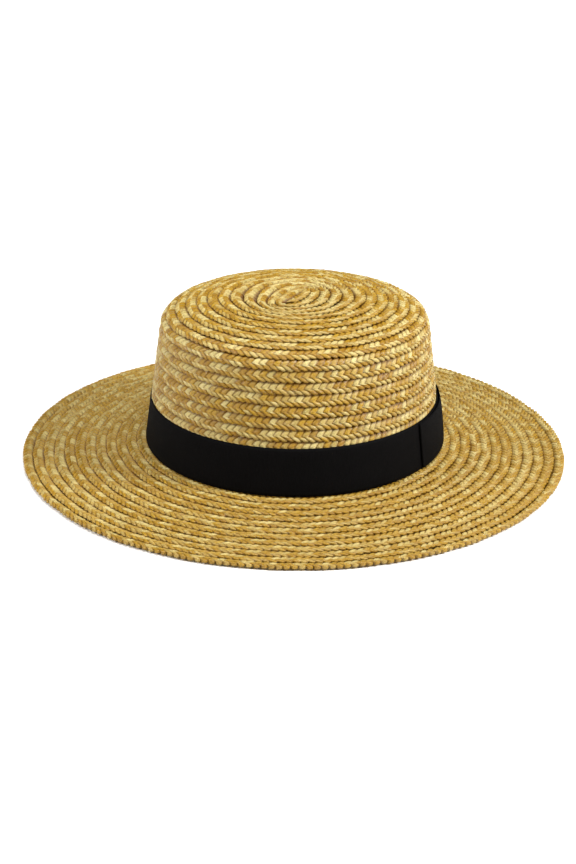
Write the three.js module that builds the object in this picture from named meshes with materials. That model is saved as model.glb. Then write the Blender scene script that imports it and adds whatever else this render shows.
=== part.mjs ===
// A straw boater: a stiff crown and brim of sewn straw plait, with a black ribbon round the crown.
// Millimetres, +Z up. The hat stands on its brim: the origin is under its middle, on the surface
// that it rests on. The front of the hat faces -Y and the wearer's left is +X.
import * as THREE from "three";

// The head oval, outside the straw at the foot of the crown. Every oval of the brim is this one
// grown by the same amount all round, as the rounds of plait are. The crown's ovals get rounder
// towards the tip, where they are longer than wide by twice the last number only.
const HEAD_HALF_WIDTH = 89;
const HEAD_HALF_LENGTH = 96.5;
const OVAL = HEAD_HALF_LENGTH - HEAD_HALF_WIDTH;
const TIP_OVAL = 1.5;

// Two thicknesses of straw plait, everywhere.
const WALL = 2.4;

// Crown: its height over the foot, its half width where side and tip would meet, and how far each
// way the shoulder rounds that corner.
const CROWN_HEIGHT = 88.5;
const TIP_HALF_WIDTH = 79.2;
const SHOULDER = 7;

// The tip's dome: how far it falls from its flat middle to the corner, the half width of that
// middle, the power of the fall, and how much higher the crown is at the wearer's left than at
// the middle.
const TIP_FALL = 10.2;
const TIP_FLAT = 30;
const TIP_CURVE = 2.2;
const LEAN = 1;

// Brim: its width, how far it falls on the way out, the power of that curve, the width of the
// flat ring under the rim, and how far the rim's corners are cut back.
const BRIM_WIDTH = 75.5;
const BRIM_FALL = 7.6;
const BRIM_CURVE = 1.6;
const RIM_FLAT = 6;
const RIM_EDGE = 0.7;

// Ribbon: the band, and the flat end over it, between two angles from the wearer's left in
// degrees. The end is thinner over a few degrees where it is folded under.
const RIBBON_HEIGHT = 27.5;
const RIBBON_THICKNESS = 1;
const TAB_THICKNESS = 1.6;
const TAB_FROM = -35;
const TAB_TO = 35;
const TAB_FOLD = 3;
const TAB_MARGIN = 0.4;

// Pieces that touch on the real hat keep this much air between them.
const GAP = 0.3;

// Facets.
const ROUND_STEPS = 60;
const TIP_STEPS = 6;
const SHOULDER_STEPS = 6;
const SIDE_STEPS = 5;
const BRIM_STEPS = 8;
const TAB_STEPS = 18;

const degrees = THREE.MathUtils.degToRad;

// Height of the brim's upper face at a share of the way from the crown's foot to the rim.
function brimTop(share) {
  return WALL + BRIM_FALL * (1 - share) ** BRIM_CURVE;
}

// The side and the tip would meet in a corner at this height, which the shoulder rounds off.
const FOOT = brimTop(0);
const CORNER = FOOT + CROWN_HEIGHT - TIP_FALL;

// How far up the crown's side a height is, from 0 at the foot to 1 at the corner. The crown leans
// by as much of its lean there.
function shareOfSide(height) {
  return (height - FOOT) / (CORNER - FOOT);
}

// Half width of the crown's outer face at a height on its side, which widens a little downwards.
function sideHalfWidth(height) {
  return THREE.MathUtils.lerp(HEAD_HALF_WIDTH, TIP_HALF_WIDTH, shareOfSide(height));
}

// How much longer than wide each way the crown's oval is at a height.
function sideOval(height) {
  return THREE.MathUtils.lerp(OVAL, TIP_OVAL, shareOfSide(height));
}

// How far out a place on the tip is, from 0 where the flat middle ends to 1 at the corner.
function shareOfTip(halfWidth) {
  return (halfWidth - TIP_FLAT) / (TIP_HALF_WIDTH - TIP_FLAT);
}

// Height of the tip, which falls as a power of that share.
function tipHeight(halfWidth) {
  return FOOT + CROWN_HEIGHT - TIP_FALL * shareOfTip(halfWidth) ** TIP_CURVE;
}

// The crown's face in section, from the foot up the side, round the shoulder and in over the tip,
// set in from the outer face by a depth. Each point has its half width r, its height z, how much
// longer its oval is each way, and how much of the lean it takes.
function crownSection(depth) {
  const points = [];
  const sideEnd = CORNER - SHOULDER;
  for (let i = 0; i < SIDE_STEPS; i++) {
    const height = THREE.MathUtils.lerp(FOOT + GAP, sideEnd, i / SIDE_STEPS);
    const lean = shareOfSide(height);
    points.push({ r: sideHalfWidth(height) - depth, z: height, oval: sideOval(height), lean });
  }
  const tipStart = TIP_HALF_WIDTH - SHOULDER;
  const shoulder = new THREE.QuadraticBezierCurve(
    new THREE.Vector2(sideHalfWidth(sideEnd) - depth, sideEnd),
    new THREE.Vector2(TIP_HALF_WIDTH - depth, CORNER - depth),
    new THREE.Vector2(tipStart, tipHeight(tipStart) - depth),
  );
  const leanAtSideEnd = shareOfSide(sideEnd);
  const leanAtTipStart = shareOfTip(tipStart) ** 2;
  shoulder.getPoints(SHOULDER_STEPS).forEach((point, i) => {
    const share = i / SHOULDER_STEPS;
    const oval = THREE.MathUtils.lerp(sideOval(sideEnd), TIP_OVAL, share);
    const lean = THREE.MathUtils.lerp(leanAtSideEnd, leanAtTipStart, share);
    points.push({ r: point.x, z: point.y, oval, lean });
  });
  for (let i = 1; i <= TIP_STEPS; i++) {
    const r = THREE.MathUtils.lerp(tipStart, TIP_FLAT, i / TIP_STEPS);
    points.push({ r, z: tipHeight(r) - depth, oval: TIP_OVAL, lean: shareOfTip(r) ** 2 });
  }
  return points;
}

// A point of a section at an angle round the hat, measured from the wearer's left.
function pointAt(point, angle) {
  const x = point.r * Math.cos(angle);
  const y = (point.r + (point.oval ?? OVAL)) * Math.sin(angle);
  return [x, y, point.z + (point.lean ?? 0) * LEAN * (x / TIP_HALF_WIDTH)];
}

// A named mesh from lists of points and of triangles.
function meshOf(name, material, positions, triangles) {
  const geometry = new THREE.BufferGeometry();
  geometry.setAttribute("position", new THREE.Float32BufferAttribute(positions.flat(), 3));
  geometry.setIndex(triangles.flat());
  geometry.computeVertexNormals();
  const mesh = new THREE.Mesh(geometry, material);
  mesh.name = name;
  return mesh;
}

// The points of each point of a section carried round the hat, a row for each.
function rowsRound(section) {
  const positions = [];
  for (const point of section) {
    for (let i = 0; i < ROUND_STEPS; i++) {
      positions.push(pointAt(point, (i / ROUND_STEPS) * 2 * Math.PI));
    }
  }
  return positions;
}

// Two triangles for each step round the hat between two rows.
function joinRows(triangles, rowA, rowB) {
  const a = rowA * ROUND_STEPS;
  const b = rowB * ROUND_STEPS;
  for (let i = 0; i < ROUND_STEPS; i++) {
    const next = (i + 1) % ROUND_STEPS;
    triangles.push([a + i, a + next, b + next]);
    triangles.push([a + i, b + next, b + i]);
  }
}

// An open shell: the outer section goes round the hat and closes over the tip, and the inner one
// goes back down inside it. The foot is a flat ring between the two.
function shell(name, material, outer, inner) {
  const section = [...outer, ...inner.toReversed()];
  const positions = rowsRound(section);
  const triangles = [];
  for (let row = 0; row < section.length; row++) {
    if (row !== outer.length - 1) joinRows(triangles, row, (row + 1) % section.length);
  }
  const outerRow = (outer.length - 1) * ROUND_STEPS;
  const innerRow = outer.length * ROUND_STEPS;
  const outerMiddle = positions.push([0, 0, outer.at(-1).z]) - 1;
  const innerMiddle = positions.push([0, 0, inner.at(-1).z]) - 1;
  for (let i = 0; i < ROUND_STEPS; i++) {
    const next = (i + 1) % ROUND_STEPS;
    triangles.push([outerRow + i, outerRow + next, outerMiddle]);
    triangles.push([innerRow + next, innerRow + i, innerMiddle]);
  }
  return meshOf(name, material, positions, triangles);
}

// A ring: a closed section carried all the way round the hat. The section runs anticlockwise
// when it is seen with r to the right and z up.
function ring(name, material, section) {
  const triangles = [];
  for (let row = 0; row < section.length; row++) {
    joinRows(triangles, row, (row + 1) % section.length);
  }
  return meshOf(name, material, rowsRound(section), triangles);
}

// The brim's section: up its rounded rim, in along the upper face to the crown's foot, down its
// inner edge, and out along the lower face, which ends in the flat ring that the hat stands on.
function brimSection() {
  const inner = HEAD_HALF_WIDTH - WALL;
  const outer = HEAD_HALF_WIDTH + BRIM_WIDTH;
  const upper = [];
  for (let i = 0; i < BRIM_STEPS; i++) {
    const share = 1 - i / BRIM_STEPS;
    const back = i === 0 ? RIM_EDGE : 0;
    upper.push({ r: HEAD_HALF_WIDTH + BRIM_WIDTH * share - back, z: brimTop(share) });
  }
  const lower = [];
  for (let i = 0; i < BRIM_STEPS; i++) {
    const share = i / BRIM_STEPS;
    lower.push({
      r: THREE.MathUtils.lerp(inner, outer - RIM_FLAT, share),
      z: BRIM_FALL * (1 - share) ** BRIM_CURVE,
    });
  }
  return [
    { r: outer, z: RIM_EDGE },
    { r: outer, z: WALL - RIM_EDGE },
    ...upper,
    { r: HEAD_HALF_WIDTH, z: FOOT },
    { r: inner, z: FOOT },
    ...lower,
    { r: outer - RIM_FLAT, z: 0 },
    { r: outer - RIM_EDGE, z: 0 },
  ];
}

const BAND_FOOT = FOOT + GAP;
const BAND_TOP = BAND_FOOT + RIBBON_HEIGHT;

// A point at a height on the crown's side, a distance off the straw.
function offSide(height, off) {
  const r = sideHalfWidth(height) + off;
  return { r, z: height, oval: sideOval(height), lean: shareOfSide(height) };
}

// A strip of ribbon in section against the crown's side, from one height to another.
function ribbonSection(clear, thickness, bottom, top) {
  return [
    offSide(bottom, clear),
    offSide(bottom, clear + thickness),
    offSide(top, clear + thickness),
    offSide(top, clear),
  ];
}

// The flat end of the ribbon, laid over the band on the wearer's left. It thins to half at each
// end, where the ribbon is folded back under.
function ribbonTab(material) {
  const positions = [];
  const triangles = [];
  const clear = GAP + RIBBON_THICKNESS + GAP;
  const stations = [TAB_FROM, TAB_FROM + TAB_FOLD];
  for (let i = 1; i < TAB_STEPS; i++) {
    stations.push(THREE.MathUtils.lerp(TAB_FROM + TAB_FOLD, TAB_TO - TAB_FOLD, i / TAB_STEPS));
  }
  stations.push(TAB_TO - TAB_FOLD, TAB_TO);
  for (const station of stations) {
    const atEnd = station === TAB_FROM || station === TAB_TO;
    const thickness = atEnd ? TAB_THICKNESS / 2 : TAB_THICKNESS;
    const section = ribbonSection(clear, thickness, BAND_FOOT + TAB_MARGIN, BAND_TOP - TAB_MARGIN);
    for (const point of section) positions.push(pointAt(point, degrees(station)));
  }
  const corners = 4;
  for (let here = 0; here < (stations.length - 1) * corners; here += corners) {
    const there = here + corners;
    for (let corner = 0; corner < corners; corner++) {
      const next = (corner + 1) % corners;
      triangles.push([here + corner, there + corner, there + next]);
      triangles.push([here + corner, there + next, here + next]);
    }
  }
  const last = (stations.length - 1) * corners;
  triangles.push([0, 1, 2], [0, 2, 3]);
  triangles.push([last, last + 2, last + 1], [last, last + 3, last + 2]);
  return meshOf("ribbon_tab", material, positions, triangles);
}

const straw = new THREE.MeshStandardMaterial({ color: 0xc39d5b, roughness: 0.55, metalness: 0 });
const brimStraw = new THREE.MeshStandardMaterial({ color: 0xb8945a, roughness: 0.6, metalness: 0 });
const grosgrain = new THREE.MeshStandardMaterial({ color: 0x0c0b0d, roughness: 0.85, metalness: 0 });
const tabGrosgrain = new THREE.MeshStandardMaterial({ color: 0x131215, roughness: 0.85, metalness: 0 });

const hat = new THREE.Group();
hat.add(shell("crown", straw, crownSection(0), crownSection(WALL)));
hat.add(ring("brim", brimStraw, brimSection()));
hat.add(ring("ribbon_band", grosgrain, ribbonSection(GAP, RIBBON_THICKNESS, BAND_FOOT, BAND_TOP)));
hat.add(ribbonTab(tabGrosgrain));

export default hat;
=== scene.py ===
import math

import bpy
import numpy as np
from mathutils import Matrix, Vector


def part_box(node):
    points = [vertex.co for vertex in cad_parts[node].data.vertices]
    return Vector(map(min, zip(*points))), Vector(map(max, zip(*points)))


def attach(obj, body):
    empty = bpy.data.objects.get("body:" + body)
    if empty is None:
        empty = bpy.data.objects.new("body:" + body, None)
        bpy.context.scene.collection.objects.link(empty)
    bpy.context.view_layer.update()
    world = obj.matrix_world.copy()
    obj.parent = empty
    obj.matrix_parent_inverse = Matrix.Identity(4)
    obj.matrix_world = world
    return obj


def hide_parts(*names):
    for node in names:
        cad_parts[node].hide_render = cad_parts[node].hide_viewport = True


# Looks of a straw boater hat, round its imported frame. Z is up, the front of the hat faces -Y and
# the wearer's left is +X. Shapes are worked out in millimetres and stored in metres.
#
# The crown is one long strip of seven-end straw plait, and so is the brim. Each is coiled into
# ovals and sewn so that every round lies over the edge of the next one out. A place on the hat is
# given by how far it is along the meridian ("out"), by its angle round the hat from the wearer's
# left, and by its height over the form.
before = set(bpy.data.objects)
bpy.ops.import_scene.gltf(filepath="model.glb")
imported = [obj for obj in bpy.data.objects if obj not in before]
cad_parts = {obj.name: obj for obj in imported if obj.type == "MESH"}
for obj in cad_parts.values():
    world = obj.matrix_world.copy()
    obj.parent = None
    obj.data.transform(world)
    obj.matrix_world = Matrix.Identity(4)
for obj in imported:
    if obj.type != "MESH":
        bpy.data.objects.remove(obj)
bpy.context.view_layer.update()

MM = 0.001
TURN = 2 * math.pi


def top_corner(node):
    """Highest corner of a CAD node's box, in millimetres."""
    return np.array(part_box(node)[1]) / MM


def bottom_corner(node):
    """Lowest corner of a CAD node's box, in millimetres."""
    return np.array(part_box(node)[0]) / MM


CROWN_HIGH = top_corner("crown")
BRIM_HIGH = top_corner("brim")
BAND_LOW, BAND_HIGH = bottom_corner("ribbon_band"), top_corner("ribbon_band")
TAB_LOW, TAB_HIGH = bottom_corner("ribbon_tab"), top_corner("ribbon_tab")

# The form, from the frame's boxes and the sizes that the frame's solids are worked out from. The
# two OVAL sizes are how much longer than wide the hat is each way, at its foot and at its tip.
# The tip is level out to TIP_FLAT and falls by TIP_FALL to its corner, which SHOULDER rounds off.
# LEAN is how much higher the tip's edge is at the wearer's left than in its middle. The crown's
# straw runs on by FOOT_LAP below the foot, inside the brim's edge.
HEAD_HALF_WIDTH = CROWN_HIGH[0]
RIM_HALF_WIDTH = BRIM_HIGH[0]
OVAL = BRIM_HIGH[1] - BRIM_HIGH[0]
FOOT = BRIM_HIGH[2]
TOP = CROWN_HIGH[2]
WALL = 2.4
TIP_HALF_WIDTH = 79.2
TIP_OVAL = 1.5
TIP_FLAT = 30.0
TIP_FALL = 10.2
TIP_CURVE = 2.2
CORNER = TOP - TIP_FALL
SHOULDER = 7.0
LEAN = 1.0
FOOT_LAP = 1.4
BRIM_CURVE = 1.6

# Places along a section of the form: on the tip and on the side, on the shoulder, on the brim.
CROWN_STEPS = 80
BEND_STEPS = 30
BRIM_STEPS = 160


def smooth(share):
    """0 below 0, 1 above 1, and an even s-curve between them."""
    share = np.clip(share, 0, 1)
    return share * share * (3 - 2 * share)


def share_of_side(height):
    """How far up the crown's side a height is, from the foot to the corner."""
    return (height - FOOT) / (CORNER - FOOT)


def side_half_width(height):
    """Half width of the crown's side, which narrows evenly upwards."""
    return HEAD_HALF_WIDTH + (TIP_HALF_WIDTH - HEAD_HALF_WIDTH) * share_of_side(height)


def side_oval(height):
    """How much longer than wide each way the crown's oval is at a height on its side."""
    return OVAL + (TIP_OVAL - OVAL) * share_of_side(height)


def share_of_tip(half_width):
    """How far out a place on the tip is, from its flat middle to the corner."""
    return np.clip((half_width - TIP_FLAT) / (TIP_HALF_WIDTH - TIP_FLAT), 0, None)


def tip_height(half_width):
    """Height of the tip, which falls as a power of that share."""
    return TOP - TIP_FALL * share_of_tip(half_width) ** TIP_CURVE


def lean_height(share, x):
    """How much the crown's lean raises a place that takes this share of it: evenly with x."""
    return share * LEAN * x / TIP_HALF_WIDTH


class Meridian:
    """A section of the form: its half width, height, extra half length and share of the lean at
    each distance out, and the direction that faces out of the hat, square to the section."""

    def __init__(self, half_width, height, oval, lean):
        run = np.hypot(np.diff(half_width), np.diff(height))
        self.out = np.concatenate([[0], np.cumsum(run)])
        self.half_width = half_width
        self.height = height
        self.oval = oval
        self.lean = lean
        along_r = np.gradient(half_width, self.out)
        along_z = np.gradient(height, self.out)
        length = np.hypot(along_r, along_z)
        self.face_r = -along_z / length
        self.face_z = along_r / length
        self.end = self.out[-1]

    def read(self, name, out):
        return np.interp(out, self.out, getattr(self, name))


def crown_meridian():
    """From the middle of the tip outwards, round the shoulder as a quadratic curve whose middle
    point is the corner, and straight down the side to a little below the foot, inside the
    brim's edge."""
    tip_end = TIP_HALF_WIDTH - SHOULDER
    side_top = CORNER - SHOULDER
    tip = np.linspace(0, tip_end, CROWN_STEPS)
    share = np.linspace(0, 1, BEND_STEPS)[1:]
    start = np.array([tip_end, tip_height(tip_end)])
    middle = np.array([TIP_HALF_WIDTH, CORNER])
    end = np.array([side_half_width(side_top), side_top])
    bend = (
        np.outer((1 - share) ** 2, start)
        + np.outer(2 * share * (1 - share), middle)
        + np.outer(share**2, end)
    )
    side = np.linspace(side_top, FOOT - FOOT_LAP, CROWN_STEPS)[1:]
    bend_oval = TIP_OVAL + (side_oval(side_top) - TIP_OVAL) * share
    tip_lean = share_of_tip(tip) ** 2
    bend_lean = tip_lean[-1] + (share_of_side(side_top) - tip_lean[-1]) * share
    return Meridian(
        half_width=np.concatenate([tip, bend[:, 0], side_half_width(side)]),
        height=np.concatenate([tip_height(tip), bend[:, 1], side]),
        oval=np.concatenate([np.full_like(tip, TIP_OVAL), bend_oval, side_oval(side)]),
        lean=np.concatenate([tip_lean, bend_lean, share_of_side(side)]),
    )


def brim_meridian():
    """From the crown's foot to the rim, falling along a power curve that is level at the rim."""
    share = np.linspace(0, 1, BRIM_STEPS)
    half_width = HEAD_HALF_WIDTH + (RIM_HALF_WIDTH - HEAD_HALF_WIDTH) * share
    height = WALL + (FOOT - WALL) * (1 - share) ** BRIM_CURVE
    return Meridian(half_width, height, np.full_like(share, OVAL), np.zeros_like(share))


# The plait starts with a straight run, doubled back on itself, in the middle of the tip. It is
# longer than the hat's oval needs and turned from the hat's long axis, and the rounds over it
# come back to the oval within this half width.
START_EXTRA = 8.6
START_TURN = math.radians(-26)
START_WITHIN = 44.0


def place(form, out, angle, height):
    """A point of the hat. Its oval is a circle of the half width, stretched along the long axis
    by the extra half length times the sine of the angle. The height is measured square to the
    form, and the crown's lean raises the wearer's left."""
    r = form.read("half_width", out)
    near_start = 1 - smooth(r / START_WITHIN)
    turn = START_TURN * near_start
    stretch = form.read("oval", out) + START_EXTRA * near_start
    wave = np.sin(angle - turn)
    x = r * np.cos(angle) - stretch * wave * np.sin(turn)
    y = r * np.sin(angle) + stretch * wave * np.cos(turn)
    face_long = (r + stretch) * np.cos(angle - turn)
    face_wide = r * wave
    size = np.hypot(face_long, face_wide) + 1e-9
    face_x = (face_long * np.cos(turn) - face_wide * np.sin(turn)) / size
    face_y = (face_long * np.sin(turn) + face_wide * np.cos(turn)) / size
    aside = height * form.read("face_r", out)
    x = x + aside * face_x
    y = y + aside * face_y
    z = form.read("height", out) + height * form.read("face_z", out)
    return np.stack([x, y, z + lean_height(form.read("lean", out), x)], axis=-1)


# --- Meshes -------------------------------------------------------------------------------------


def mesh_object(name, points, faces, material, corner_values=None, corner_uv=None):
    """A mesh piece from points in millimetres and quads or triangles, faced outwards by the sign
    of the volume that its faces enclose."""
    points = points.reshape(-1, 3)
    corners = points[faces]
    fan = [(0, i, i + 1) for i in range(1, faces.shape[1] - 1)]
    volume = sum(
        np.einsum("ij,ij->i", corners[:, a], np.cross(corners[:, b], corners[:, c])).sum()
        for a, b, c in fan
    )
    if volume < 0:
        faces = faces[:, ::-1]
        corner_values = None if corner_values is None else corner_values[:, ::-1]
        corner_uv = None if corner_uv is None else corner_uv[:, ::-1]
    mesh = bpy.data.meshes.new(name)
    mesh.vertices.add(len(points))
    mesh.vertices.foreach_set("co", (points * MM).astype(np.float32).ravel())
    mesh.loops.add(faces.size)
    mesh.loops.foreach_set("vertex_index", faces.astype(np.int32).ravel())
    mesh.polygons.add(len(faces))
    starts = np.arange(len(faces), dtype=np.int32) * faces.shape[1]
    mesh.polygons.foreach_set("loop_start", starts)
    mesh.polygons.foreach_set("use_smooth", np.ones(len(faces), bool))
    mesh.update(calc_edges=True)
    if corner_uv is not None:
        layer = mesh.uv_layers.new(name="strand_uv")
        layer.data.foreach_set("uv", corner_uv.astype(np.float32).ravel())
    if corner_values is not None:
        layer = mesh.color_attributes.new("strand", "FLOAT_COLOR", "CORNER")
        layer.data.foreach_set("color", corner_values.astype(np.float32).ravel())
    mesh.validate()
    mesh.materials.append(material)
    piece = bpy.data.objects.new(name, mesh)
    bpy.context.collection.objects.link(piece)
    return piece


def tube_faces(columns, rows):
    """Quads of a closed section of `rows` points carried through `columns` places, with the two
    ends closed by quads that join the section's first half to its second."""
    column, row = np.meshgrid(np.arange(columns - 1), np.arange(rows), indexing="ij")
    after = (row + 1) % rows
    here = column * rows
    there = here + rows
    sides = np.stack([here + row, there + row, there + after, here + after], axis=-1)
    half = np.arange((rows - 1) // 2)
    cap = np.stack([half, half + 1, rows - 2 - half, rows - 1 - half], axis=-1)
    last = (columns - 1) * rows
    return sides.reshape(-1, 4), cap, cap[:, ::-1] + last


# --- Plait --------------------------------------------------------------------------------------

# Each repeat of the plait shows one strand on its inner half and one on its outer half, and the
# two slant opposite ways from the FOLD. All in millimetres, for a round that shows EXPOSED of
# its width; a coil scales what lies across the plait to its own rounds.
PITCH = 4.05
EXPOSED = 7.0
FOLD = 3.95
INNER_SLANT = 0.80
OUTER_SLANT = 1.05
ENDS = 7

# A strand where it shows: places across it, how high each stands over the plait's own face in the
# strand's middle and at its narrow ends, and how far each is pulled in at the round's lip.
STRAND_ACROSS = np.array([0.0, 0.08, 0.27, 0.50, 0.74, 0.92])
STRAND_RISE = np.array([-0.58, -0.08, 0.20, 0.28, 0.12, -0.18])
STRAND_END_RISE = np.array([-0.95, -0.50, 0.05, 0.22, 0.00, -0.52])
STRAND_NOTCH = np.array([1.15, 0.65, 0.1, 0.0, 0.2, 0.85])

# How unlike each other the strands are: one spread for how high a strand lies, one for how far it
# is tipped over to one side, one for how far its edges and its end stray.
LEVEL_SPREAD = 0.075
TIP_OVER_SPREAD = 0.20
STRAY_SPREAD = 0.22

# How many straws are drawn for each end, the part of a turn by which a bundle's tone moves on
# with each straw, the value that a plait's contrast is about, and how many repeats earlier a
# strand shows on the outer half than on the inner one.
STRAWS = 400
BUNDLE_TURN = 0.13 / 1.7
STRAND_MIDDLE = 0.45
OUTER_EARLIER = 4

# How much less the strands rise where the plait is pressed flat, the slow ripple along the plait,
# and how much thicker than the rest the top and the underside of a thick last round get.
PRESSED_LESS = 0.25
RIPPLE = 0.07
RIPPLE_LENGTH = 31
RIM_TOP = 0.9
RIM_UNDERSIDE = 1.0

# At the very end of a coil: the height that the plait thins about, how much of its thickness is
# left, and how far it sinks.
THINS_ABOUT = -0.3
THINNED = 0.5
SINK = 0.95

# The plait in section. For each row of points: how far out it is from where the round comes out
# under its neighbour, its height over the form where the plait is left round and where it is
# pressed flat, how much of the strands' rise it takes (less than none on the inside), how near
# the strands' narrow ends it is, how far the notches between strands pull it in, and whether it
# lies on the outer half.
ROW_NAMES = ("out", "height", "flat", "rise", "ends", "notch", "outer_half")
ROWS = np.array(
    [
        (-2.2, -1.40, -1.40, 0.1, 1.0, 0.0, 0),
        (0.3, -0.82, -0.58, 0.9, 1.0, 0.0, 0),
        (0.95, -0.34, -0.18, 1.1, 0.8, 0.0, 0),
        (2.2, 0.06, -0.04, 1.0, 0.1, 0.0, 0),
        (3.6, 0.34, 0.14, 1.0, 0.7, 0.0, 0),
        (4.3, 0.42, 0.22, 1.0, 0.7, 0.0, 1),
        (5.3, 0.44, 0.34, 1.0, 0.0, 0.0, 1),
        (6.2, 0.30, 0.40, 1.0, 0.6, 0.15, 1),
        (6.95, -0.02, 0.14, 1.0, 0.9, 0.7, 1),
        (7.2, -0.44, -0.46, 0.5, 0.8, 1.05, 1),
        (6.9, -0.78, -0.74, -0.1, 0.3, 0.9, 1),
        (4.6, -1.05, -1.05, -0.6, 0.4, 0.0, 1),
        (3.7, -1.12, -1.12, -0.6, 0.5, 0.0, 0),
        (1.4, -1.52, -1.52, -0.5, 0.0, 0.0, 0),
        (-2.0, -2.18, -2.18, -0.2, 0.0, 0.0, 0),
    ]
)
ROW = {name: ROWS[:, i] for i, name in enumerate(ROW_NAMES)}


class Coil:
    """A strip of plait laid round and round a form. It is at `start_angle` at turn 0, and it
    begins at the turn `begin`. `evenness` says how far it is an even spiral (1) or a row of true
    ovals (0) at each turn. On true ovals the strip keeps to one round for `step_from` of a turn
    and moves out to the next in the rest of it."""

    STEPS_A_TURN = 720

    def __init__(self, form, rounds, start_angle, evenness, step_from, begin=0.0):
        self.form = form
        self.rounds = rounds
        self.width = form.end / rounds
        self.start_angle = start_angle
        self.evenness = evenness
        self.step_from = step_from
        turns = np.linspace(-0.5, rounds + 0.5, (rounds + 1) * self.STEPS_A_TURN + 1)
        middle = np.maximum(self.rounds_out(turns) + 0.5, 0.25) * self.width
        path = place(form, middle, self.angle(turns), 0)
        run = np.linalg.norm(np.diff(path, axis=0), axis=1)
        length = np.concatenate([[0], np.cumsum(run)])
        self.turns = turns
        self.length = length - np.interp(begin, turns, length)
        self.pitches = int(np.interp(rounds, turns, self.length) / PITCH)

    def angle(self, turns):
        return self.start_angle + TURN * turns

    def rounds_out(self, turns):
        """How many rounds out the strip's inner edge is: the turns themselves on an even spiral,
        and whole rounds joined by an s-curve where the rounds are true ovals."""
        whole = np.floor(turns)
        part = turns - whole
        stepped = whole + smooth((part - self.step_from) / (1 - self.step_from))
        even = self.evenness(turns)
        return np.minimum(even * turns + (1 - even) * stepped, self.rounds - 1)

    def turn_at(self, length):
        return np.interp(length, self.length, self.turns)


def strand_numbers(rng, pitches):
    """For each place along the plait, the tone, brightness and gloss of the strand on top there.
    The seven ends come up in turn, neighbours are often of one bundle of straw, and each straw
    lasts for some 6 to 13 repeats before the next is let in."""
    repeat = np.arange(pitches) // ENDS
    end = np.arange(pitches) % ENDS
    shortest, longest = 6, 14
    most = repeat[-1] + 2
    tone = np.empty(pitches)
    light = np.empty(pitches)
    gloss = np.empty(pitches)
    for number in range(ENDS):
        lasts = rng.integers(shortest, longest, most // shortest + 2)
        changes = np.cumsum(lasts) - rng.integers(0, 10)
        drift = rng.uniform(0, 1, STRAWS)
        mine = end == number
        straw = np.searchsorted(changes, repeat[mine], side="right") % STRAWS
        bundle = np.cos(TURN * (number / ENDS - BUNDLE_TURN * straw)) * 0.5 + 0.5
        tone[mine] = np.clip(0.72 * bundle + 0.55 * drift[straw] - 0.16, 0, 1)
        light[mine] = rng.uniform(0, 1, STRAWS)[straw]
        gloss[mine] = rng.uniform(0, 1, STRAWS)[straw]
    light = np.clip(0.65 * light + 0.35 * rng.uniform(0, 1, pitches), 0, 1)
    tone = np.clip(tone + rng.normal(0, 0.07, pitches), 0, 1)
    return np.stack([tone, light, gloss], axis=-1)


class Plait:
    """The strands of one coil: the tone, brightness and gloss of each, `contrast` times as far
    apart as they are drawn, and the small differences in where it lies, which are drawn apart
    for the inner and the outer half of the plait."""

    def __init__(self, coil, seed, contrast):
        rng = np.random.default_rng(seed)
        self.coil = coil
        count = coil.pitches + 1
        strands = strand_numbers(rng, count + ENDS)
        strands = STRAND_MIDDLE + contrast * (strands - STRAND_MIDDLE)
        outer = strands[OUTER_EARLIER : count + OUTER_EARLIER]
        self.strands = np.stack([strands[:count], outer])
        self.level = rng.normal(0, LEVEL_SPREAD, (2, count))
        self.tip_over = rng.normal(0, TIP_OVER_SPREAD, (2, count))
        self.stray = rng.normal(0, STRAY_SPREAD, (2, count))
        self.grain_at = rng.integers(0, 60, (2, count))


def round_height(coil, turns, row_height):
    """The height of a row of the section. The end of the last round runs out under the round
    before it, so it sinks and thins evenly over its last step."""
    step_start = coil.rounds - 1 + coil.step_from
    sink = smooth((turns - step_start) / (1 - coil.step_from))
    thickness = 1 - (1 - THINNED) * sink
    return THINS_ABOUT + (row_height - THINS_ABOUT) * thickness - SINK * sink


def sway(along):
    """How far the hand that sewed the coil let it stray in and out: three slow waves along it."""
    waves = ((0.11, 23.0, 0.4), (0.13, 41.0, 2.3), (0.12, 67.0, 4.1))
    return sum(size * np.sin(TURN * along / length + phase) for size, length, phase in waves)


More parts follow.
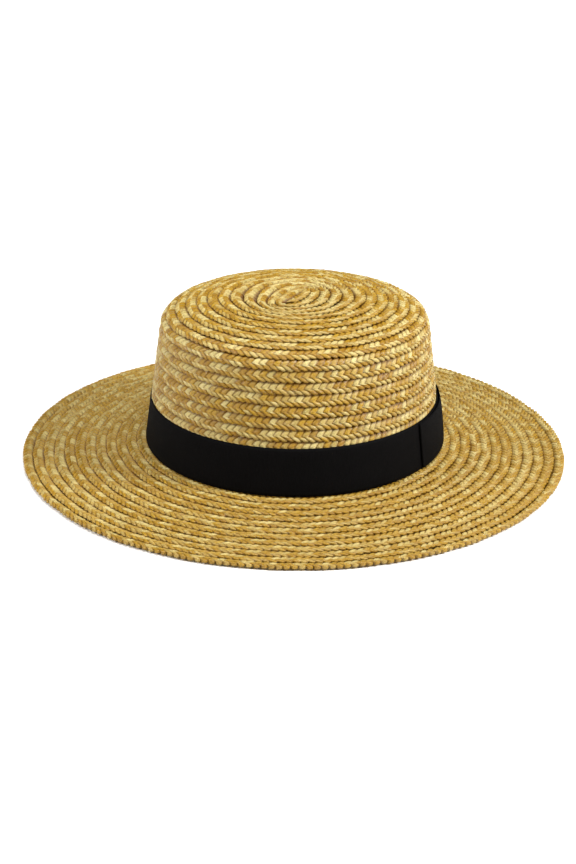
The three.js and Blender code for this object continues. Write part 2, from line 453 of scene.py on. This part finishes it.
def plait_points(plait, pitch, across, rise, notch, flatness, rim):
    """Points of the plait, one row of the section after another at each place along it. The
    height is the section's own, raised by the strand that shows there, which may lie higher or
    be tipped over. The rows are pulled in at the lip by the notches between strands, and carried
    along the strip as far as the strands' slant has taken them."""
    coil = plait.coil
    scale = coil.width / EXPOSED
    side = ROW["outer_half"].astype(int)
    slant = np.where(
        side == 0,
        (FOLD - ROW["out"]) * INNER_SLANT,
        (ROW["out"] - FOLD) * OUTER_SLANT + 0.5 * PITCH,
    )
    number = np.minimum(pitch, plait.level.shape[1] - 1)
    on_strand = (across > 0)[:, None]
    level = plait.level[side][:, number].T
    tip_over = plait.tip_over[side][:, number].T
    stray = plait.stray[side][:, number].T

    along = (pitch + across)[:, None] * PITCH + slant * scale + on_strand * stray * 0.5
    turns = coil.turn_at(along)
    inner_edge = coil.rounds_out(turns) * coil.width
    pressed = flatness(inner_edge)
    lift = rise[:, :1] + (rise[:, 1:] - rise[:, :1]) * ROW["ends"]
    lift = lift + on_strand * (level + tip_over * (across[:, None] - 0.5))
    face = ROW["height"] + (ROW["flat"] - ROW["height"]) * pressed
    height = face + ROW["rise"] * lift * (1 - PRESSED_LESS * pressed)
    last_round = smooth((turns - (coil.rounds - 1)) / 0.02) if rim else 0.0
    underside = np.clip(-(ROW["height"] + 0.1) / 0.6, 0, 1)
    height = height + rim * last_round * (RIM_TOP * (1 - underside) - RIM_UNDERSIDE * underside)
    height = height + RIPPLE * np.sin(TURN * along / RIPPLE_LENGTH)
    height = round_height(coil, turns, height)

    pulled_in = notch[:, None] * (1 + 0.9 * last_round) + on_strand * 0.8 * stray
    out = inner_edge + (ROW["out"] - ROW["notch"] * pulled_in) * scale + sway(along)
    return place(coil.form, np.clip(out, 0, coil.form.end), coil.angle(turns), height)


def plait_values(plait, pitch):
    """For each corner of each quad along the plait: the tone and brightness of its strand, how
    far out on the round it is, and the strand's gloss."""
    side = ROW["outer_half"].astype(int)
    mine = plait.strands[side][:, pitch].transpose(1, 0, 2)
    out_share = np.clip(ROW["out"] / EXPOSED, 0, 1)
    after = np.roll(out_share, -1)
    value = np.empty((len(pitch), len(ROWS), 4, 4))
    value[..., :2] = mine[:, :, None, :2]
    value[..., 2] = np.stack([out_share, out_share, after, after], axis=-1)
    value[..., 3] = mine[:, :, None, 2]
    return value.reshape(-1, 4, 4)


def plait_uv(plait, pitch, across):
    """For each corner of each quad along the plait, its place on the strand: u from 0 to 1 across
    the strand and v along it, both moved by a number drawn for the strand, so that few strands
    have the same grain. It is whole, so the strand's edges are still at whole values of u."""
    side = ROW["outer_half"].astype(int)
    along = np.where(side == 0, FOLD - ROW["out"], ROW["out"] - FOLD) * 1.4
    after = np.roll(along, -1)
    here = across[:-1, None]
    there = np.where(across[1:] == 0, 1.0, across[1:])[:, None]
    grain_at = plait.grain_at[side][:, pitch].T[:, :, None]
    uv = np.empty((len(pitch), len(ROWS), 4, 2))
    uv[..., 0] = np.stack([here, there, there, here], axis=-1) + grain_at
    uv[..., 1] = np.stack([along, along, after, after], axis=-1) + grain_at * 1.7
    return uv.reshape(-1, 4, 2)


def plait_piece(name, plait, first, last, material, flatness, rim):
    """The pitches from `first` up to `last` of a coil as one closed strip. `flatness` says how
    far the plait is pressed flat at each distance out, and `rim` thickens the last round."""
    repeats = last - first
    pitch = np.append(np.repeat(np.arange(first, last), len(STRAND_ACROSS)), last)
    across = np.append(np.tile(STRAND_ACROSS, repeats), STRAND_ACROSS[0])
    notch = np.append(np.tile(STRAND_NOTCH, repeats), STRAND_NOTCH[0])
    strand_rise = np.stack([STRAND_RISE, STRAND_END_RISE], axis=-1)
    rise = np.concatenate([np.tile(strand_rise, (repeats, 1)), strand_rise[:1]])
    points = plait_points(plait, pitch, across, rise, notch, flatness, rim)
    value = plait_values(plait, pitch[:-1])
    uv = plait_uv(plait, pitch[:-1], across)
    sides, cap_a, cap_b = tube_faces(len(pitch), len(ROWS))
    faces = np.concatenate([sides, cap_a, cap_b])
    value = np.concatenate([value, value[: len(cap_a)], value[-len(cap_b) :]])
    uv = np.concatenate([uv, uv[: len(cap_a)], uv[-len(cap_b) :]])
    return mesh_object(name, points, faces, material, value, uv)


# --- Materials ----------------------------------------------------------------------------------


class Nodes:
    """Short calls for building a material's node tree."""

    def __init__(self, name):
        self.material = bpy.data.materials.new(name)
        self.material.use_nodes = True
        self.tree = self.material.node_tree
        self.shader = self.tree.nodes["Principled BSDF"]

    def add(self, kind, links=None, **settings):
        node = self.tree.nodes.new(kind)
        for key, value in settings.items():
            setattr(node, key, value)
        for socket, value in (links or {}).items():
            self.set(node, socket, value)
        return node

    def set(self, node, socket, value):
        if isinstance(value, bpy.types.NodeSocket):
            self.tree.links.new(value, node.inputs[socket])
        else:
            node.inputs[socket].default_value = value

    def math(self, operation, a, b=0.0, clamp=False):
        node = self.add("ShaderNodeMath", {0: a, 1: b}, operation=operation, use_clamp=clamp)
        return node.outputs[0]

    def range(self, value, low, high, to_low=0.0, to_high=1.0):
        links = {"Value": value, 1: low, 2: high, 3: to_low, 4: to_high}
        return self.add("ShaderNodeMapRange", links).outputs[0]

    def mix(self, share, a, b, blend="MIX"):
        node = self.add("ShaderNodeMix", data_type="RGBA", blend_type=blend)
        for socket, value in ((0, share), (6, a), (7, b)):
            self.set(node, socket, value)
        return node.outputs[2]

    def noise(self, vector, scale, detail=2.0, roughness=0.5, dimensions="3D"):
        links = {"Vector": vector, "Scale": scale, "Detail": detail, "Roughness": roughness}
        return self.add("ShaderNodeTexNoise", links, noise_dimensions=dimensions).outputs["Fac"]

    def bump(self, height, strength, distance, normal=None):
        links = {"Height": height, "Strength": strength, "Distance": distance}
        if normal is not None:
            links["Normal"] = normal
        return self.add("ShaderNodeBump", links).outputs["Normal"]


GOLD_DARK = (0.250, 0.115, 0.007, 1)
GOLD = (0.51, 0.305, 0.018, 1)
PALE_DARK = (0.39, 0.280, 0.060, 1)
PALE = (0.75, 0.625, 0.265, 1)
STAIN = (0.085, 0.030, 0.003, 1)
# Painted shade: the next colour stands for the dark in the grooves between strands.
GROOVE_SHADE = (0.17, 0.065, 0.004, 1)
# Painted shadow: the next colour stands for the dark under the neighbouring round's lip, where
# each round comes out from under it.
PAINTED_LIP_SHADOW = (0.11, 0.034, 0.001, 1)
AGED = (0.40, 0.25, 0.050, 1)


def straw_material(name, tint, roughness, lip_shadow_dark, lip_pale_kept_in_shade, flat_pale_painted_light):
    """Split straw: gold or champagne by strand, darker and lighter straws, fine grain along each
    strand, painted shade that darkens the edges of each strand where the grooves between strands
    lie, and the polish of the straw's skin. Each round is darkened by `lip_shadow_dark` where it
    comes out under its neighbour, as painted shadow under that lip; is made paler by
    `flat_pale_painted_light` on its inner half, as painted light where it faces the lamps; and
    keeps `lip_pale_kept_in_shade` of its paleness at its lip, as painted shade where the lip turns
    down."""
    n = Nodes(name)
    strand = n.add("ShaderNodeAttribute", attribute_name="strand")
    split = n.add("ShaderNodeSeparateColor", {"Color": strand.outputs["Color"]})
    tone, light, out = split.outputs
    gloss = strand.outputs["Alpha"]
    uv = n.add("ShaderNodeUVMap", uv_map="strand_uv").outputs["UV"]
    stretched = n.add("ShaderNodeMapping", {"Vector": uv, "Scale": (15.0, 0.55, 1.0)})
    grain = n.noise(stretched.outputs[0], 1.0, 3.0, 0.6, "2D")
    fine = n.add("ShaderNodeMapping", {"Vector": uv, "Scale": (38.0, 1.1, 1.0)})
    fine_grain = n.noise(fine.outputs[0], 1.0, 2.0, 0.5, "2D")
    place_at = n.add("ShaderNodeTexCoord").outputs["Object"]
    across = n.add("ShaderNodeSeparateXYZ", {"Vector": uv}).outputs["X"]
    # Painted shade: darkest at the strand's edges, where the grooves between strands lie.
    edge = n.range(n.math("PINGPONG", across, 0.5), 0.0, 0.17, 0.62, 0.0)
    weather = n.noise(place_at, 22.0, 3.0, 0.6)
    mottle = n.noise(place_at, 260.0, 2.0, 0.6)

    shade = n.math("ADD", n.math("MULTIPLY", light, 0.75), n.math("MULTIPLY", grain, 0.55))
    shade = n.math("SUBTRACT", shade, 0.12, clamp=True)
    gold = n.mix(shade, GOLD_DARK, GOLD)
    pale = n.mix(shade, PALE_DARK, PALE)
    paleness = n.range(tone, 0.35, 0.75)
    # Painted light and shade on each round: paler on the inner half, which faces the lamps, and
    # less pale at the lip, which turns down away from them.
    paleness = n.math("ADD", paleness, n.range(out, 0.45, 0.70, flat_pale_painted_light, 0.0), clamp=True)
    paleness = n.math("MULTIPLY", paleness, n.range(out, 0.62, 0.92, 1.0, lip_pale_kept_in_shade))
    straw = n.mix(paleness, gold, pale)
    lines = n.range(fine_grain, 0.36, 0.60, 0.58, 1.10)
    grey_lines = n.add("ShaderNodeCombineColor", {0: lines, 1: lines, 2: lines}).outputs[0]
    straw = n.mix(1.0, straw, grey_lines, "MULTIPLY")
    straw = n.mix(1.0, straw, tint, "MULTIPLY")
    aged = n.range(weather, 0.35, 0.75, 0.0, 0.18)
    straw = n.mix(aged, straw, AGED)
    spots = n.range(mottle, 0.66, 0.80, 0.0, 0.5)
    straw = n.mix(spots, straw, STAIN)
    # Painted shadow: darker where the round comes out under its neighbour's lip.
    lip_shadow = n.range(out, 0.02, 0.19, lip_shadow_dark, 0.0)
    straw = n.mix(lip_shadow, straw, PAINTED_LIP_SHADOW)
    # Painted shade in the grooves between strands.
    straw = n.mix(edge, straw, GROOVE_SHADE)
    n.set(n.shader, "Base Color", straw)
    skin = n.range(gloss, 0.15, 0.9, roughness + 0.14, roughness - 0.08)
    n.set(n.shader, "Roughness", n.math("ADD", skin, n.range(grain, 0.3, 0.7, -0.05, 0.08)))
    n.set(n.shader, "Specular IOR Level", 0.42)
    n.set(n.shader, "IOR", 1.5)
    relief = n.math("ADD", n.math("MULTIPLY", grain, 0.7), n.math("MULTIPLY", fine_grain, 0.5))
    n.set(n.shader, "Normal", n.bump(relief, 0.7, 0.00025))
    return n.material


def ribbon_material(name, colour):
    """Black ribbed ribbon: matt, with a soft sheen and the weave's slight unevenness."""
    n = Nodes(name)
    place_at = n.add("ShaderNodeTexCoord").outputs["Object"]
    cloud = n.noise(place_at, 90.0, 3.0, 0.6)
    yarn = n.noise(place_at, 2400.0, 2.0, 0.6)
    lighter = tuple(part * 1.35 for part in colour[:3]) + (1,)
    n.set(n.shader, "Base Color", n.mix(n.range(cloud, 0.3, 0.7), colour, lighter))
    n.set(n.shader, "Roughness", n.range(yarn, 0.3, 0.7, 0.62, 0.85))
    n.set(n.shader, "Specular IOR Level", 0.05)
    n.set(n.shader, "Sheen Weight", 0.005)
    n.set(n.shader, "Sheen Roughness", 0.4)
    n.set(n.shader, "Normal", n.bump(yarn, 0.35, 0.00015))
    return n.material


def floor_material():
    """Matt white, which glows a little far from the hat, as a lit sweep behind it does."""
    n = Nodes("pale_floor")
    place_at = n.add("ShaderNodeTexCoord").outputs["Object"]
    far = n.add("ShaderNodeVectorMath", {0: place_at}, operation="LENGTH").outputs["Value"]
    n.set(n.shader, "Base Color", (0.95, 0.95, 0.95, 1))
    n.set(n.shader, "Emission Color", (1, 1, 1, 1))
    n.set(n.shader, "Emission Strength", n.range(far, 0.25, 1.5, 0.0, 1.0))
    n.set(n.shader, "Roughness", 0.9)
    n.set(n.shader, "Specular IOR Level", 0.1)
    return n.material


# --- Camera, light and floor --------------------------------------------------------------------

VIEW_DISTANCE = 1.250
VIEW_ELEVATION = math.radians(22.15)
VIEW_ROLL = math.radians(0.536)
VIEW_TARGET = Vector((-0.0035, 0.0, 0.01065))
VIEW_LENS = 85.25
LIGHTS_FACE = Vector((0, 0, 0.04))
FLOOR_REACH = 6.0


def add_camera():
    """Looks along +Y from above the floor, with a slight roll."""
    data = bpy.data.cameras.new("camera")
    data.lens = VIEW_LENS
    data.sensor_width = 36
    back = Vector((0, -math.cos(VIEW_ELEVATION), math.sin(VIEW_ELEVATION)))
    right = Vector((1, 0, 0))
    up = back.cross(right)
    rolled_right = right * math.cos(VIEW_ROLL) + up * math.sin(VIEW_ROLL)
    rolled_up = up * math.cos(VIEW_ROLL) - right * math.sin(VIEW_ROLL)
    turn = Matrix((rolled_right, rolled_up, back)).transposed().to_4x4()
    camera = bpy.data.objects.new("camera", data)
    camera.matrix_world = Matrix.Translation(VIEW_TARGET + back * VIEW_DISTANCE) @ turn
    bpy.context.collection.objects.link(camera)
    bpy.context.scene.camera = camera


def add_soft_light(name, position, size, power):
    """A square soft box that faces the hat."""
    data = bpy.data.lights.new(name, "AREA")
    data.size = size
    data.energy = power
    light = bpy.data.objects.new(name, data)
    light.location = position
    light.rotation_euler = (LIGHTS_FACE - light.location).to_track_quat("-Z", "Y").to_euler()
    bpy.context.collection.objects.link(light)


def add_floor():
    """A large pale square at the height that the hat stands on."""
    corners = np.array([[-1, -1, 0], [1, -1, 0], [1, 1, 0], [-1, 1, 0]]) * FLOOR_REACH
    mesh = bpy.data.meshes.new("floor")
    mesh.from_pydata(corners.tolist(), [], [(0, 1, 2, 3)])
    mesh.materials.append(floor_material())
    floor = bpy.data.objects.new("floor", mesh)
    bpy.context.collection.objects.link(floor)


def add_stage():
    add_camera()
    add_floor()
    add_soft_light("right_light", (1.15, -0.35, 0.95), 0.5, 26)
    add_soft_light("left_light", (-1.15, -0.40, 0.85), 0.5, 13.5)
    add_soft_light("top_light", (0.15, -0.2, 1.6), 0.7, 18)
    world = bpy.data.worlds.new("studio")
    bpy.context.scene.world = world
    world.use_nodes = True
    background = world.node_tree.nodes["Background"]
    background.inputs["Color"].default_value = (1, 1, 1, 1)
    background.inputs["Strength"].default_value = 0.16
    bpy.context.scene.view_settings.view_transform = "Standard"


# --- Ribbon -------------------------------------------------------------------------------------

# Ribs across the ribbon: how far apart, and how high the cloth stands at places over each. CLOTH
# is its thickness, CLEAR how far its inner face stands off the crown's side, over the straw.
RIB = 1.0
RIB_PHASES = np.array([0.0, 0.25, 0.5, 0.75])
RIB_RISE = np.array([-0.05, 0.02, 0.05, 0.02])
CLOTH = 0.55
CLEAR = 0.62
RIBBON_ROWS = 7

# How far the cloth's lower and upper edges keep inside those of the frame's solids.
BAND_INSET = (0.05, 0.55)
TAB_INSET = (0.2, 0.7)

# The tab: the mean radius of its way round the crown's side, how much is folded under at each
# end, the places along that part, and the places round each fold.
TAB_RADIUS = 93.0
TAB_FOLD = 12.0
UNDER_STEPS = 48
FOLD_STEPS = 7


def ribbon_across():
    """Places across the ribbon from its lower edge to its upper one, closer at the edges."""
    share = np.linspace(0, 1, RIBBON_ROWS)
    return share - 0.11 * np.sin(TURN * share)


def ribbon_band(material):
    """A closed loop of ribbed ribbon, drawn tight round the crown's side. Its section is two
    faces a cloth's thickness apart with rounded edges, and each place round the crown rises with
    the rib there and strays by two slow waves."""
    around = (HEAD_HALF_WIDTH + OVAL / 2 + 1) * TURN
    ribs = int(around / RIB)
    phases = len(RIB_PHASES)
    angle = (np.repeat(np.arange(ribs), phases) + np.tile(RIB_PHASES, ribs)) * TURN / ribs
    rib = np.tile(RIB_RISE, ribs)
    low = BAND_LOW[2] + BAND_INSET[0]
    high = BAND_HIGH[2] - BAND_INSET[1]
    across = low + (high - low) * ribbon_across()
    rounded = 0.12 * np.array([-1.5, 0.6, 0, 0, 0, 0.6, -1.5])
    outer_rows = np.stack([across, CLEAR + CLOTH + rounded], axis=-1)
    inner_rows = np.stack([across[::-1], np.full(RIBBON_ROWS, CLEAR)], axis=-1)
    rows = np.concatenate([outer_rows, inner_rows])
    outer_share = [1.0, 0.9, 1.0, 1.0, 1.0, 0.9, 1.0]
    rib_share = np.concatenate([outer_share, np.full(RIBBON_ROWS, -0.6)])
    wave = 0.16 * np.sin(3 * angle + 0.7) + 0.10 * np.sin(7 * angle + 2.1)
    z = rows[:, 0] + 0.4 * wave[:, None]
    stand = rows[:, 1] + rib[:, None] * rib_share + 0.25 * np.maximum(wave, -0.1)[:, None]
    r = side_half_width(z) + stand
    x = r * np.cos(angle)[:, None]
    y = (r + side_oval(z)) * np.sin(angle)[:, None]
    points = np.stack([x, y, z + lean_height(share_of_side(z), x)], axis=-1)
    columns, count = len(angle), len(rows)
    column, row = np.meshgrid(np.arange(columns), np.arange(count), indexing="ij")
    here = column * count
    there = (column + 1) % columns * count
    after = (row + 1) % count
    faces = np.stack([here + row, there + row, there + after, here + after], axis=-1)
    band = mesh_object("ribbon_band_cloth", points, faces.reshape(-1, 4), material)
    return band, ((high - low) * MM, around * MM)


def tab_path():
    """The tab's middle line in plan, as angle and distance off the crown's side: out from under
    the front fold, round it, along the side of the hat, round the back fold and under again."""
    start = math.radians(-33.0)
    end = math.radians(34.6)
    inner = CLEAR + CLOTH + 0.42
    outer = inner + 0.78
    middle = (inner + outer) / 2
    radius = (outer - inner) / 2
    arc = np.linspace(0, math.pi, FOLD_STEPS)[1:-1]
    per_mm = 1 / TAB_RADIUS
    under = TAB_FOLD * per_mm
    under_front = np.linspace(start + under, start, UNDER_STEPS)
    front_fold = start - radius * np.sin(arc) * per_mm
    along = np.append(np.arange(start, end, 0.25 * RIB * per_mm), end)
    back_fold = end + radius * np.sin(arc) * per_mm
    under_back = np.linspace(end, end - under, UNDER_STEPS)
    angle = np.concatenate([under_front, front_fold, along, back_fold, under_back])
    hidden = np.full(UNDER_STEPS, inner)
    fold_off = radius * np.cos(arc)
    shown = np.full(len(along), outer)
    off = np.concatenate([hidden, middle - fold_off, shown, middle + fold_off, hidden])
    return angle, off


def ribbon_tab(material):
    """The flat end of the ribbon on the wearer's left, with both its ends folded under: a closed
    section carried along the tab's middle line, square to it, with the ribs across it. The part
    that shows bellies out a little in its middle."""
    angle, off = tab_path()
    low = TAB_LOW[2] + TAB_INSET[0]
    high = TAB_HIGH[2] - TAB_INSET[1]
    across = low + (high - low) * ribbon_across()
    x = (HEAD_HALF_WIDTH + off) * np.cos(angle)
    y = (HEAD_HALF_WIDTH + off + OVAL) * np.sin(angle)
    run = np.hypot(np.diff(x), np.diff(y))
    length = np.concatenate([[0], np.cumsum(run)])
    tangent_x = np.gradient(x, length)
    tangent_y = np.gradient(y, length)
    size = np.hypot(tangent_x, tangent_y)
    face_x = tangent_y / size
    face_y = -tangent_x / size
    rib = 0.05 * np.cos(TURN * length / RIB)
    z = np.concatenate([across, across[::-1]])
    side = np.repeat([1.0, -1.0], RIBBON_ROWS)
    half_thick = 0.45 * CLOTH * np.tile([0.6, 1, 1, 1, 1, 1, 0.6], 2)
    stand = side * (half_thick + rib[:, None])
    crown_in = side_half_width(z) - HEAD_HALF_WIDTH
    oval_in = side_oval(z) - OVAL
    bulge = 0.5 * np.exp(-(((length - 0.5 * length[-1]) / 34) ** 2))
    shown = smooth((off - off.min()) / (off.max() - off.min()))
    belly = (bulge * shown)[:, None] * np.sin(np.pi * (z - low) / (high - low))
    out_x = (crown_in + belly) * np.cos(angle)[:, None]
    out_y = (crown_in + oval_in + belly) * np.sin(angle)[:, None]
    px = x[:, None] + face_x[:, None] * stand + out_x
    py = y[:, None] + face_y[:, None] * stand + out_y
    points = np.stack([px, py, z + lean_height(share_of_side(z), px)], axis=-1)
    sides, cap_a, cap_b = tube_faces(len(angle), len(z))
    tab = mesh_object("ribbon_tab_cloth", points, np.concatenate([sides, cap_a, cap_b]), material)
    return tab, ((high - low) * MM, length[-1] * MM)


# --- Hat ----------------------------------------------------------------------------------------

CROWN_ROUNDS = 24
BRIM_ROUNDS = 12


def crown_evenness(turns):
    """True ovals round the doubled start, an even spiral from the sixth round."""
    return smooth((turns - 1) / 5)


def brim_evenness(turns):
    """True ovals all the way."""
    return np.zeros_like(turns)


def crown_flatness(out):
    """The tip is pressed flat, and the side is not."""
    return 1 - smooth((out - 68) / 12)


def brim_flatness(out):
    """Pressed flat all over."""
    return np.ones_like(out)


crown_coil = Coil(crown_meridian(), CROWN_ROUNDS, math.radians(-116), crown_evenness, 0.80)
brim_coil = Coil(brim_meridian(), BRIM_ROUNDS, math.radians(140), brim_evenness, 0.72, begin=-0.28)

add_stage()
crown_straw = straw_material("crown_straw_plait", (1, 1, 1, 1), 0.29, 0.85, 0.55, 0.0)
brim_straw = straw_material("brim_straw_plait", (0.97, 0.96, 0.95, 1), 0.32, 0.8, 0.35, 0.2)
ribbon_cloth = ribbon_material("black_ribbon", (0.0016, 0.0014, 0.0015, 1))

crown_plait = Plait(crown_coil, 11, 0.95)
brim_plait = Plait(brim_coil, 23, 0.65)


def pitch_at(coil, turns):
    """The pitch of a coil that a turn falls in."""
    return int(np.interp(turns, coil.turns, coil.length) / PITCH)


def add_plait(name, plait, first, last, material, node, flatness, rim=0.0):
    """A stretch of the crown's or the brim's plait, which stands for part of that node."""
    piece = plait_piece(name, plait, first, last, material, flatness, rim)
    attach(piece, "root")
    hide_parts(node)


crown_cuts = [0, pitch_at(crown_coil, 12), pitch_at(crown_coil, 17.5), crown_coil.pitches]
crown_names = ["crown_tip_plait", "crown_side_plait_upper", "crown_side_plait_lower"]
for crown_name, cut_a, cut_b in zip(crown_names, crown_cuts, crown_cuts[1:]):
    add_plait(crown_name, crown_plait, cut_a, cut_b, crown_straw, "crown", crown_flatness)

brim_cuts = [0, pitch_at(brim_coil, 5), pitch_at(brim_coil, 9), brim_coil.pitches]
brim_names = ["brim_plait_inner", "brim_plait_middle", "brim_plait_outer"]
for brim_name, cut_a, cut_b in zip(brim_names, brim_cuts, brim_cuts[1:]):
    add_plait(brim_name, brim_plait, cut_a, cut_b, brim_straw, "brim", brim_flatness, rim=0.45)

band, band_flat = ribbon_band(ribbon_cloth)
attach(band, "root")
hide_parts("ribbon_band")

tab, tab_flat = ribbon_tab(ribbon_cloth)
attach(tab, "root")
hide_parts("ribbon_tab")
